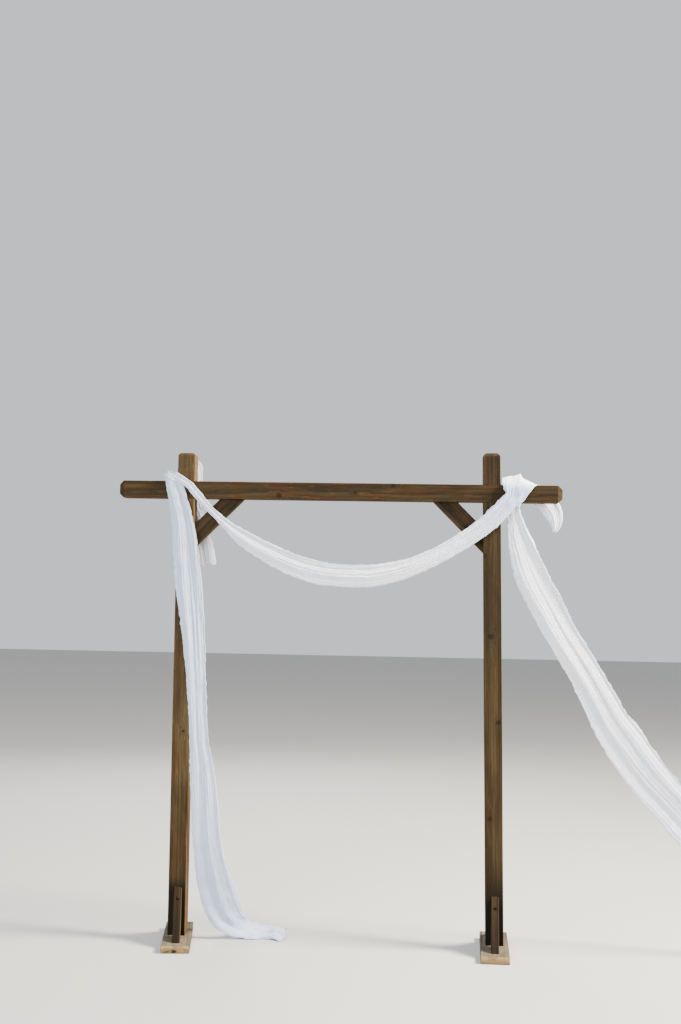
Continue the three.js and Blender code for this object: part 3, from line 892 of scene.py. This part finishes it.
# Gauze: each runner is one long sheet, folded over itself in four layers and gathered along a path
gauzeLook = {
    "step": 0.0105,                   # between rows along the cloth
    "columns": (84, 36, 36, 84),      # quads across each layer, front to back
    "flatWide": 0.55,                 # the cloth's cut width
    "stack": 0.60,                    # share of the bundle's depth that the layers take
    "foldShare": 0.27,                # share that the broad folds take
    "breadth": 0.545,                 # half of a layer's width, as its edges fall a little short
    "turnGathers": 0.4,               # share of the gathers left at the round turns
    "edgeDepth": 0.5,                 # how thick the bundle stays at its edges
    "heapEdge": 0.2,                  # the same where it lies on the floor
    "layerGathers": (0.70, 1.7, 1.7, 0.85),
    "wrinkle": (0.0007, 0.0048),      # least and most height of the fine gathers
    "smoothing": 9,                   # rows over which that height is evened out
    "widthWaves": ((0.05, 6.0), (0.016, 17.0)),
    "heapHigh": 0.06,                 # below this the bundle lies in a heap on the floor
    "crest": (0.062, 0.016),          # how far from the beam's middle, and over what height, it stands up
    "crumples": ((17, 1.0), (41, 0.5)),
    "clearance": 0.0015,              # between cloth and timber
    "floorClearance": 0.0012,
    "layerLift": 0.0008,              # between the layers on the floor
}

front, rear, skyward = (0, -1, 0), (0, 1, 0), (0, 0, 1)
plainStation = (front, 0.001, (0, 0, 0))   # what a station says where its row ends early

# stations: place, width and depth of the bundle, the way its broad side faces, how crumpled it is, and
# the way its width runs where that isn't square to the path; turned is -1 with the raw edges on the right;
# the painted shade entry: how much painted shade, bluer and darker, it takes at shares of its length; puffs:
# place, radius and push where it stands up
leftRunner = {
    "name": "gauzeLeftRunner",
    "replaces": ("drape_left_floor_end", "drape_left_tail", "drape_left_wrap", "drape_left_back_tail"),
    "seed": 11.0,
    "folds": 4.2,
    "slant": 0.55,
    "endZone": 0.10,
    "fray": 0.03,
    "cutLong": 3.35,
    "turned": -1,
    "cool": ((0.0, 1.9), (0.08, 1.7), (0.2, 1.3), (0.5, 1.4), (0.75, 1.7), (0.80, 1.2), (0.86, 0.0)),
    "puffs": [
        ((-0.098, -0.020, 2.372), 0.040, (-0.004, 0, 0.014)),
        ((-0.070, -0.020, 2.378), 0.036, (0, 0, 0.014)),
    ],
    "stations": [
        ((0.528, 0.112, 0.024), 0.136, 0.030, skyward, 0.010, (0.09, 0.92, 0.38)),
        ((0.490, 0.130, 0.028), 0.126, 0.038, skyward, 0.014, (0.03, 0.95, 0.32)),
        ((0.440, 0.151, 0.026), 0.122, 0.042, skyward, 0.014, (0, 0.94, 0.34)),
        ((0.405, 0.150, 0.025), 0.132, 0.042, (0, -0.1, 1), 0.012, (0, 0.94, 0.33)),
        ((0.372, 0.150, 0.029), 0.160, 0.046, (0, -0.2, 1), 0.014, (0, 0.95, 0.30)),
        ((0.328, 0.126, 0.040), 0.136, 0.042, (0.1, -0.6, 0.8), 0.009, (0.27, 0.82, 0.50)),
        ((0.295, 0.102, 0.060), 0.134, 0.040, (0.2, -0.8, 0.5), 0.006, (0.60, 0.44, 0.66)),
        ((0.268, 0.078, 0.085), 0.146, 0.040, (0.1, -1, 0.3), 0.004, (0.73, 0.25, 0.63)),
        ((0.244, 0.066, 0.113), 0.168, 0.040, (0.1, -1, 0.3), 0.004, (0.83, 0.10, 0.54)),
        ((0.218, 0.055, 0.164), 0.180, 0.038, (0, -1, 0.2), 0.003, (0.92, 0.05, 0.38)),
        ((0.188, 0.040, 0.252), 0.178, 0.038, front, 0.002),
        ((0.166, 0.018, 0.355), 0.162, 0.038),
        ((0.149, -0.005, 0.459), 0.146, 0.038),
        ((0.139, -0.025, 0.562), 0.136, 0.038),
        ((0.129, -0.045, 0.715), 0.125, 0.038),
        ((0.118, -0.060, 0.866), 0.113, 0.036),
        ((0.100, -0.070, 1.017), 0.090, 0.036),
        ((0.081, -0.074, 1.267), 0.091, 0.034),
        ((0.060, -0.074, 1.518), 0.108, 0.036),
        ((0.036, -0.074, 1.729), 0.126, 0.036),
        ((0.011, -0.074, 1.936), 0.123, 0.036),
        ((-0.005, -0.074, 2.083), 0.113, 0.034),
        ((-0.035, -0.073, 2.225), 0.091, 0.034, front, 0.002),
        ((-0.057, -0.070, 2.301), 0.080, 0.034, (0, -1, 0.1), 0.003),
        ((-0.072, -0.056, 2.343), 0.076, 0.036, (0, -1, 0.7), 0.007),
        ((-0.080, -0.018, 2.360), 0.074, 0.044, (-0.15, -0.2, 1), 0.009),
        ((-0.076, 0.030, 2.360), 0.066, 0.036, (-0.4, 0.3, 1), 0.008),
        ((-0.044, 0.062, 2.372), 0.060, 0.024, (-0.6, 1, 0.6), 0.006),
        ((-0.010, 0.068, 2.400), 0.056, 0.016, (0, 1, 0.2), 0.004, (0, 0, 1)),
        ((0.007, 0.069, 2.405), 0.082, 0.014, rear, 0.003, (0.70, 0, 0.70)),
        ((0.022, 0.070, 2.392), 0.084, 0.014, rear, 0.003, (0.88, 0, 0.47)),
        ((0.024, 0.071, 2.366), 0.074, 0.014, rear, 0.003, (0.98, 0, 0.18)),
        ((0.024, 0.072, 2.300), 0.074, 0.022, rear, 0.003, (1, 0, 0)),
        ((0.012, 0.074, 2.200), 0.086, 0.032, rear, 0.002),
        ((0.060, 0.076, 2.061), 0.104, 0.036, rear, 0.002),
        ((0.080, 0.077, 1.985), 0.102, 0.032, rear, 0.002),
        ((0.094, 0.078, 1.902), 0.098, 0.024, rear, 0.003),
    ],
}

swagRunner = {
    "name": "gauzeSwagRunner",
    "replaces": ("drape_swag", "drape_right_wrap", "drape_right_back_tail"),
    "seed": 37.0,
    "folds": 3.4,
    "slant": 0.3,
    "endZone": 0.08,
    "fray": 0.03,
    "cutLong": 2.60,
    "turned": 1,
    "cool": ((0.0, 1.0), (0.12, 0.7), (0.25, 0.1), (0.55, 0.0), (0.74, 1.0), (0.836, 2.1), (0.846, 0.0)),
    "puffs": [],
    "crest": [
        (1.600, 0.000), (1.609, 0.008), (1.631, 0.018), (1.656, 0.024), (1.678, 0.032), (1.694, 0.044),
        (1.702, 0.030), (1.711, 0.020), (1.726, 0.013), (1.745, 0.007), (1.770, 0.002), (1.790, 0.000),
    ],
    "stations": [
        ((-0.084, 0.024, 2.362), 0.048, 0.016, (-0.2, 0.3, 1), 0.006),
        ((-0.080, -0.026, 2.362), 0.056, 0.022, (-0.2, -0.6, 1), 0.006),
        ((-0.062, -0.066, 2.350), 0.052, 0.024, (0, -1, 0.5), 0.006),
        ((-0.034, -0.074, 2.338), 0.040, 0.026, front, 0.004),
        ((-0.003, -0.076, 2.319), 0.036, 0.026, front, 0.002),
        ((0.021, -0.076, 2.304), 0.037, 0.026, front, 0.002),
        ((0.058, -0.074, 2.261), 0.037, 0.026, front, 0.002),
        ((0.100, -0.074, 2.213), 0.034, 0.028, front, 0.002),
        ((0.121, -0.074, 2.190), 0.032, 0.028),
        ((0.182, -0.075, 2.133), 0.036, 0.032),
        ((0.219, -0.076, 2.100), 0.047, 0.034),
        ((0.302, -0.076, 2.037), 0.074, 0.036),
        ((0.385, -0.076, 1.988), 0.089, 0.036),
        ((0.527, -0.077, 1.920), 0.104, 0.038),
        ((0.689, -0.077, 1.870), 0.112, 0.040),
        ((0.845, -0.077, 1.856), 0.108, 0.040),
        ((0.960, -0.077, 1.859), 0.106, 0.040),
        ((1.071, -0.076, 1.880), 0.101, 0.038),
        ((1.159, -0.076, 1.907), 0.089, 0.038),
        ((1.284, -0.075, 1.964), 0.082, 0.036),
        ((1.437, -0.074, 2.057), 0.081, 0.034),
        ((1.509, -0.074, 2.110), 0.085, 0.034),
        ((1.578, -0.074, 2.173), 0.087, 0.034),
        ((1.640, -0.072, 2.240), 0.080, 0.034, front, 0.002),
        ((1.661, -0.071, 2.258), 0.090, 0.032, front, 0.002, (0.86, 0, -0.51)),
        ((1.670, -0.068, 2.286), 0.114, 0.030, front, 0.003, (0.97, 0, -0.24)),
        ((1.681, -0.060, 2.316), 0.146, 0.026, (0.1, -1, 0.3), 0.004, (1, 0, -0.12)),
        ((1.694, -0.026, 2.336), 0.180, 0.022, (0.1, -0.5, 1), 0.006, (1, 0, -0.17)),
        ((1.704, 0.014, 2.336), 0.188, 0.020, (0.1, 0.2, 1), 0.006, (1, 0, -0.15)),
        ((1.726, 0.050, 2.326), 0.168, 0.022, (0.1, 1, 0.7), 0.006, (1, 0, -0.05)),
        ((1.762, 0.068, 2.304), 0.140, 0.026, rear, 0.004, (1, 0, -0.05)),
        ((1.806, 0.071, 2.268), 0.120, 0.026, rear, 0.003, (0.9, 0, 0)),
        ((1.846, 0.073, 2.230), 0.104, 0.024, rear, 0.002, (0.5, 0, 0)),
        ((1.869, 0.075, 2.198), 0.092, 0.022, rear, 0.002),
        ((1.880, 0.076, 2.165), 0.078, 0.022, rear, 0.002),
        ((1.884, 0.077, 2.124), 0.046, 0.018, rear, 0.002),
        ((1.876, 0.078, 2.100), 0.022, 0.012, rear, 0.002),
    ],
}

rightRunner = {
    "name": "gauzeRightRunner",
    "replaces": ("drape_right_tail", "drape_right_floor_end"),
    "seed": 73.0,
    "folds": 4.6,
    "slant": 0.4,
    "endZone": 0.10,
    "fray": 0.035,
    "cutLong": 3.00,
    "turned": 1,
    "cool": ((0.0, 0.0), (0.3, 0.0), (0.6, 0.5)),
    "puffs": [],
    "stations": [
        ((1.690, -0.050, 2.318), 0.060, 0.006, front, 0.002),
        ((1.672, -0.049, 2.260), 0.056, 0.008, front, 0.002),
        ((1.662, -0.038, 2.200), 0.058, 0.024, front, 0.002),
        ((1.672, -0.018, 2.140), 0.078, 0.034, front, 0.002),
        ((1.698, -0.006, 2.032), 0.124, 0.038),
        ((1.757, 0.000, 1.866), 0.166, 0.038),
        ((1.832, 0.000, 1.722), 0.168, 0.038),
        ((1.888, 0.000, 1.617), 0.164, 0.038),
        ((1.950, 0.000, 1.514), 0.160, 0.038),
        ((2.011, 0.000, 1.418), 0.161, 0.038),
        ((2.102, 0.000, 1.254), 0.173, 0.038),
        ((2.160, 0.000, 1.144), 0.190, 0.038),
        ((2.240, 0.000, 1.024), 0.206, 0.038),
        ((2.349, 0.000, 0.875), 0.208, 0.038),
        ((2.468, 0.000, 0.744), 0.206, 0.038),
        ((2.584, 0.000, 0.618), 0.216, 0.038),
        ((2.800, 0.000, 0.408), 0.214, 0.040, front, 0.002),
        ((2.984, 0.002, 0.232), 0.200, 0.042, (0, -1, 0.5), 0.004),
        ((3.096, 0.006, 0.110), 0.190, 0.044, (0, -0.7, 1), 0.006),
        ((3.170, 0.008, 0.046), 0.190, 0.042, (0, -0.2, 1), 0.008),
        ((3.256, 0.012, 0.022), 0.170, 0.034, skyward, 0.008),
        ((3.340, 0.018, 0.013), 0.120, 0.020, skyward, 0.008),
    ],
}


def curveThrough(rows, parameters):
    # a smooth curve that passes through every row; a parameter counts rows from 0
    rows = numpy.array(rows, dtype=float)
    gaps = numpy.linalg.norm(numpy.diff(rows[:, :3], axis=0), axis=1)
    knots = numpy.concatenate(([0.0], numpy.cumsum(numpy.sqrt(numpy.maximum(gaps, 1e-6)))))
    # one more row past each end, in line with the last two
    rows = numpy.vstack((2 * rows[0] - rows[1], rows, 2 * rows[-1] - rows[-2]))
    knots = numpy.concatenate(([2 * knots[0] - knots[1]], knots, [2 * knots[-1] - knots[-2]]))

    def blend(points, starts, ends, t):
        return [a + (b - a) * (t - ka) / (kb - ka) for a, b, ka, kb in zip(points, points[1:], starts, ends)]

    out = []
    for parameter in parameters:
        span = min(int(parameter), len(rows) - 4)
        points, k = rows[span:span + 4], knots[span:span + 4]
        t = k[1] + (k[2] - k[1]) * (parameter - span)
        out.append(blend(blend(blend(points, k, k[1:], t), k, k[2:], t), k[1:], k[2:], t)[0])
    return numpy.array(out)


def evenly(rows, step):
    # the same curve sampled at equal steps of its length
    fine = curveThrough(rows, [i / 24 for i in range(24 * (len(rows) - 1) + 1)])
    gaps = numpy.linalg.norm(numpy.diff(fine[:, :3], axis=0), axis=1)
    lengths = numpy.concatenate(([0.0], numpy.cumsum(gaps)))
    wanted = numpy.linspace(0, lengths[-1], max(2, round(lengths[-1] / step)) + 1)
    samples = numpy.transpose([numpy.interp(wanted, lengths, column) for column in fine.T])
    return samples.tolist(), float(lengths[-1])


def wave(x, y=0.0, z=0.0):
    return noise.noise(Vector((x, y, z)))


def pushedOut(spot, extra=0.0):
    # moves a point that would be inside a timber or the floor to the nearest face
    gap = gauzeLook["clearance"]
    skin = half + gap
    atBeam = beamLow[0] < spot.x < beamHigh[0] and beamUnder - gap < spot.z < beamTop + gap
    if atBeam and abs(spot.y) < skin:
        ways = (
            (skin - abs(spot.y), Vector((spot.x, math.copysign(skin, spot.y), spot.z))),
            (beamTop + gap - spot.z, Vector((spot.x, spot.y, beamTop + gap))),
            (spot.z - beamUnder + gap, Vector((spot.x, spot.y, beamUnder - gap))),
        )
        spot = min(ways, key=lambda way: way[0])[1]
    for side, place in postPlace.items():
        local = postInverse[side] @ spot
        if max(abs(local.x), abs(local.y)) < skin and local.z < lumber["postLong"][side] + gap:
            axis = 0 if abs(local.x) > abs(local.y) else 1
            local[axis] = math.copysign(skin, local[axis])
            spot = place @ local
    spot.z = max(spot.z, gauzeLook["floorClearance"] + extra)
    return spot


def layerSection(wide, deep, along, seed):
    # the bundle's cross-section: four layers joined by round turns, as rows of
    # (place across, height, normal across, normal height, layer)
    columns = gauzeLook["columns"]
    layers = len(columns)
    gap = deep * gauzeLook["stack"] / (layers - 1)
    spread = min(1.0, 0.94 * gauzeLook["flatWide"] / (layers * wide))
    reach = wide * gauzeLook["breadth"]

    def inset(number, base, swing):
        drift = wave(along * 1.4, number * 7.3, seed) + 0.35 * wave(along * 9.0, number * 3.1, seed + 4)
        return base + swing * (0.5 + drift)

    ragged = 0.012 * wave(along * 34, 2.0, seed) + 0.010 * wave(along * 15, 5.0, seed)
    starts = -reach * (1 - inset(0, 0.02, 0.12)) + ragged * 0.35
    rightOne = reach * (1 - inset(1, 0.00, 0.10)) + 0.006 * wave(along * 42, 8.0, seed)
    leftOne = -reach * (1 - inset(2, 0.00, 0.08) - (1 - spread)) + 0.006 * wave(along * 42, 11.0, seed)
    rightTwo = reach * (1 - inset(3, 0.02, 0.14) - (1 - spread))
    ends = -reach * (1 - inset(4, 0.06, 0.16)) + ragged * 0.35
    edges = [starts, rightOne, leftOne, rightTwo, ends]
    curl = gap / 2
    arc = math.pi * curl / 2
    rows = []
    for layer, count in enumerate(columns):
        top, bottom = layer == 0, layer == layers - 1
        height = deep * gauzeLook["stack"] / 2 - gap * layer
        way = -1 if layer % 2 else 1
        begin = edges[layer] + (0 if top else way * curl)
        finish = edges[layer + 1] - (0 if bottom else way * curl)
        lead, line, tail = (0.0 if top else arc), abs(finish - begin), (0.0 if bottom else arc)
        total = lead + line + tail
        for column in range(count + bottom):
            at = total * column / count
            if at < lead:
                angle = math.pi / 2 * at / lead
                x, y = math.cos(angle), math.sin(angle)
                rows.append((begin - way * curl * x, height + curl - curl * y, x, way * y, layer))
            elif at <= lead + line + 1e-9:
                rows.append((begin + way * (at - lead), height, 0.0, way, layer))
            else:
                angle = math.pi / 2 * (at - lead - line) / arc
                x, y = math.sin(angle), math.cos(angle)
                rows.append((finish + way * curl * x, height - curl + curl * y, x, way * y, layer))
    return rows


def broadFolds(q, along, runner):
    # soft swells with a few narrow creases that run down the cloth on a slant
    seed, folds = runner["seed"], runner["folds"]
    lean = q * folds * 0.5 + runner["slant"] * along
    swell = wave(lean * 0.7, along * 0.7, seed)
    crease = wave(lean * 1.1 + 3.0, along * 0.5, seed + 6)
    small = wave(lean * 2.3 + 9.0, along * 0.9, seed + 12)
    creases = 0.30 * math.exp(-(crease / 0.16) ** 2) + 0.15 * math.exp(-(small / 0.12) ** 2)
    strength = max(0.0, 0.65 + 0.8 * wave(lean * 0.8, along * 1.1, seed + 17))
    return 1.15 * swell - strength * creases, strength * creases


def fineGathers(across, along, seed):
    long = 0.62 * wave(across * 74 + 1.6 * wave(along * 2.5, seed), along * 2.4, seed + 30)
    short = 0.34 * wave(across * 165, along * 6.5, seed + 37)
    return long + short


def sectionsOf(runner, samples, long):
    # each row's folded section, the broad folds and fine gathers on it, and where its creases lie
    seed, flatWide = runner["seed"], gauzeLook["flatWide"]
    sections, folds, gathers, creases = [], [], [], []
    for index, row in enumerate(samples):
        along = long * index / (len(samples) - 1)
        wide, deep = max(row[3], 0.02), max(row[4], 0.004)
        swells = enumerate(gauzeLook["widthWaves"], 1)
        wide *= 1 + sum(high * wave(along * often, seed + number) for number, (high, often) in swells)
        section = layerSection(wide, deep, along, seed)
        lines = [broadFolds(part[0] / wide * 2, along, runner) for part in section]
        last = len(section) - 1
        sections.append([part[:4] for part in section])
        folds.append([line[0] * deep * gauzeLook["foldShare"] for line in lines])
        creases.append([line[1] for line in lines])
        gathers.append([
            gauzeLook["layerGathers"][part[4]] * fineGathers(column / last * flatWide, along, seed)
            for column, part in enumerate(section)
        ])
    layers = [part[4] for part in section]
    return numpy.array(sections), numpy.array(folds), numpy.array(gathers), creases, layers


def spreadOut(sections, folds, gathers):
    # the gathers stand as high as it takes to use up the cloth's width on each row
    placed = sections[:, :, 0]
    widest = numpy.abs(placed).max(axis=1)[:, None]
    arch = numpy.sqrt(numpy.clip(1 - (placed / widest) ** 2, 0, 1))
    crown = gauzeLook["edgeDepth"] + (1 - gauzeLook["edgeDepth"]) * arch

    def laidOut(height):
        pushed = gathers * height[:, None]
        across = placed + sections[:, :, 2] * pushed * gauzeLook["turnGathers"]
        return across, sections[:, :, 1] * crown + sections[:, :, 3] * pushed + folds

    least, most = gauzeLook["wrinkle"]
    low, high = numpy.full(len(placed), least), numpy.full(len(placed), most)
    for _ in range(9):
        middle = (low + high) / 2
        across, outward = laidOut(middle)
        used = numpy.hypot(numpy.diff(across), numpy.diff(outward)).sum(axis=1)
        short = used < gauzeLook["flatWide"]
        low, high = numpy.where(short, middle, low), numpy.where(short, high, middle)
    width = gauzeLook["smoothing"]
    padded = numpy.pad((low + high) / 2, width // 2, mode="edge")
    return *laidOut(numpy.convolve(padded, numpy.ones(width) / width, mode="valid")), arch


def axesAt(samples, index):
    # along the path, across the bundle, and the way its broad side faces
    row = samples[index]
    ahead, behind = samples[min(index + 2, len(samples) - 1)], samples[max(index - 2, 0)]
    tangent = (Vector(ahead[:3]) - Vector(behind[:3])).normalized()
    faces, lying = Vector(row[5:8]), Vector(row[9:12])
    side = tangent.cross(faces).normalized()
    facing = side.cross(tangent).normalized()
    if lying.length > 0.01:
        side = (side * (1 - min(1.0, lying.length)) + lying).normalized()
        facing = (faces - side * side.dot(faces)).normalized()
    return tangent, side, facing


def stoodUp(spot, runner):
    for place, radius, push in runner["puffs"]:
        near = (spot - Vector(place)).length / radius
        if near < 1:
            spot += Vector(push) * (1 - near * near) ** 2
    reach, band = gauzeLook["crest"]
    if "crest" in runner and abs(spot.y) < reach and spot.z > beamTop - band:
        over = min(1.0, (spot.z - beamTop + band) / band) * (1 - (spot.y / reach) ** 2)
        spot.z += over * float(numpy.interp(spot.x, *zip(*runner["crest"])))
    return spot


def makeRunner(runner):
    rows = []
    for place, wide, deep, *more in runner["stations"]:
        faces, crumple, across = (*more, *plainStation[len(more):])
        rows.append((*place, wide, deep, *faces, crumple, *across))
    samples, long = evenly(rows, gauzeLook["step"])
    sections, folds, gathers, creases, layers = sectionsOf(runner, samples, long)
    across, outward, arch = spreadOut(sections, folds, gathers)
    seed, count, columns = runner["seed"], len(samples), len(layers)
    heapHigh = gauzeLook["heapHigh"]
    shifts = (Vector((seed, 0, 0)), Vector((0, seed, 0)))
    vertices, paintedFoldShades = [], []
    for index, row in enumerate(samples):
        here, crumple = Vector(row[:3]), row[8]
        tangent, side, facing = axesAt(samples, index)
        along = long * index / (count - 1)
        toEnd = min(along, long - along)
        # how much painted shade this stretch of the runner takes
        cool = float(numpy.interp(along / long, *zip(*runner["cool"])))
        for column, layer in enumerate(layers):
            sideways = runner["turned"] * float(across[index, column])
            spot = here + side * sideways + facing * float(outward[index, column])
            if here.z < heapHigh:
                edge = (1 - gauzeLook["heapEdge"]) * (1 - float(arch[index, column]))
                spot.z *= 1 - (1 - here.z / heapHigh) * edge
            if toEnd < runner["endZone"]:
                fray = 0.5 * wave(column * 0.045, seed + 40) + 0.3 * wave(column * 0.19, seed + 41)
                spot += tangent * fray * runner["fray"] * (1 - toEnd / runner["endZone"])
            spot = stoodUp(spot, runner)
            if crumple > 0.0002:
                for shift, (scale, share) in zip(shifts, gauzeLook["crumples"]):
                    spot += noise.noise_vector(spot * scale + shift) * crumple * share
            vertices.append(pushedOut(spot, gauzeLook["layerLift"] * (layers[-1] - layer)))
            # painted shade in the creases, less on the ridges of the gathers, plus the runner's painted
            # shade
            sunk = creases[index][column] - 0.8 * float(gathers[index, column])
            paintedFoldShades.append(max(0.0, sunk) / (1 + cool) + cool)
    faces = []
    for ring, column in itertools.product(range(count - 1), range(columns - 1)):
        a = ring * columns + column
        faces.append((a, a + 1, a + 1 + columns, a + columns)[::runner["turned"]])
    piece = linked(runner["name"], meshFrom(runner["name"], vertices, faces))
    piece.data.shade_smooth()
    piece.data.attributes.new("paintedFoldShade", "FLOAT", "POINT").data.foreach_set("value", paintedFoldShades)
    weave = piece.data.uv_layers.new(name="weave")
    for loop in piece.data.loops:
        ring, column = divmod(loop.vertex_index, columns)
        across = column / (columns - 1) * gauzeLook["flatWide"]
        weave.data[loop.index].uv = (across, long * ring / (count - 1))
    piece.data.materials.append(gauzeFinish)
    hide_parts(*runner["replaces"])
    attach(piece, rootBody)
    surface = sum(polygon.area for polygon in piece.data.polygons)
    print(f"{runner['name']}: {long:.3f} m long, {surface:.3f} m2, {len(faces)} quads")
    return piece


for runner in (leftRunner, swagRunner, rightRunner):
    piece = makeRunner(runner)
print("gauze hung")


# Floor and light
stageLook = {
    "floor": ((-30, -30, 0), (32, -30, 0), (32, 30, 0), (-30, 30, 0)),
    "paint": {"Base Color": (0.43, 0.42, 0.405, 1), "Roughness": 0.9},
    "sky": {"Color": (0.91, 0.94, 0.98, 1), "Strength": 0.88},
}


def makeStage():
    floor = linked("floor", meshFrom("floor", stageLook["floor"], [(0, 1, 2, 3)]))
    paint, tree = newMaterial("paleFloor")
    fill(tree, tree.nodes["Principled BSDF"], stageLook["paint"])
    floor.data.materials.append(paint)


# each light: place, the point that it faces, size, power and colour
lights = {
    "key": ((6.4, -0.9, 6.2), (0.9, 0.0, 1.3), 2.4, 3900, (1.0, 0.91, 0.79)),
    "fill": ((-1.5, -8.0, 4.2), (0.9, 0.0, 1.2), 5.5, 900, (0.84, 0.92, 1.0)),
    "back": ((-1.0, 6.0, 5.0), (0.9, 0.0, 1.4), 4.0, 520, (1.0, 0.98, 0.95)),
}


def makeLights():
    for name, (place, aim, size, power, tint) in lights.items():
        lamp = bpy.data.lights.new(name, "AREA")
        lamp.shape = "DISK"
        lamp.size = size
        lamp.energy = power
        lamp.color = tint
        turned = (Vector(aim) - Vector(place)).to_track_quat("-Z", "Y").to_matrix().to_4x4()
        linked(name, lamp).matrix_world = Matrix.Translation(place) @ turned
    world = bpy.data.worlds.new("studio")
    world.use_nodes = True
    fill(world.node_tree, world.node_tree.nodes["Background"], stageLook["sky"])
    bpy.context.scene.world = world


makeStage()
makeLights()
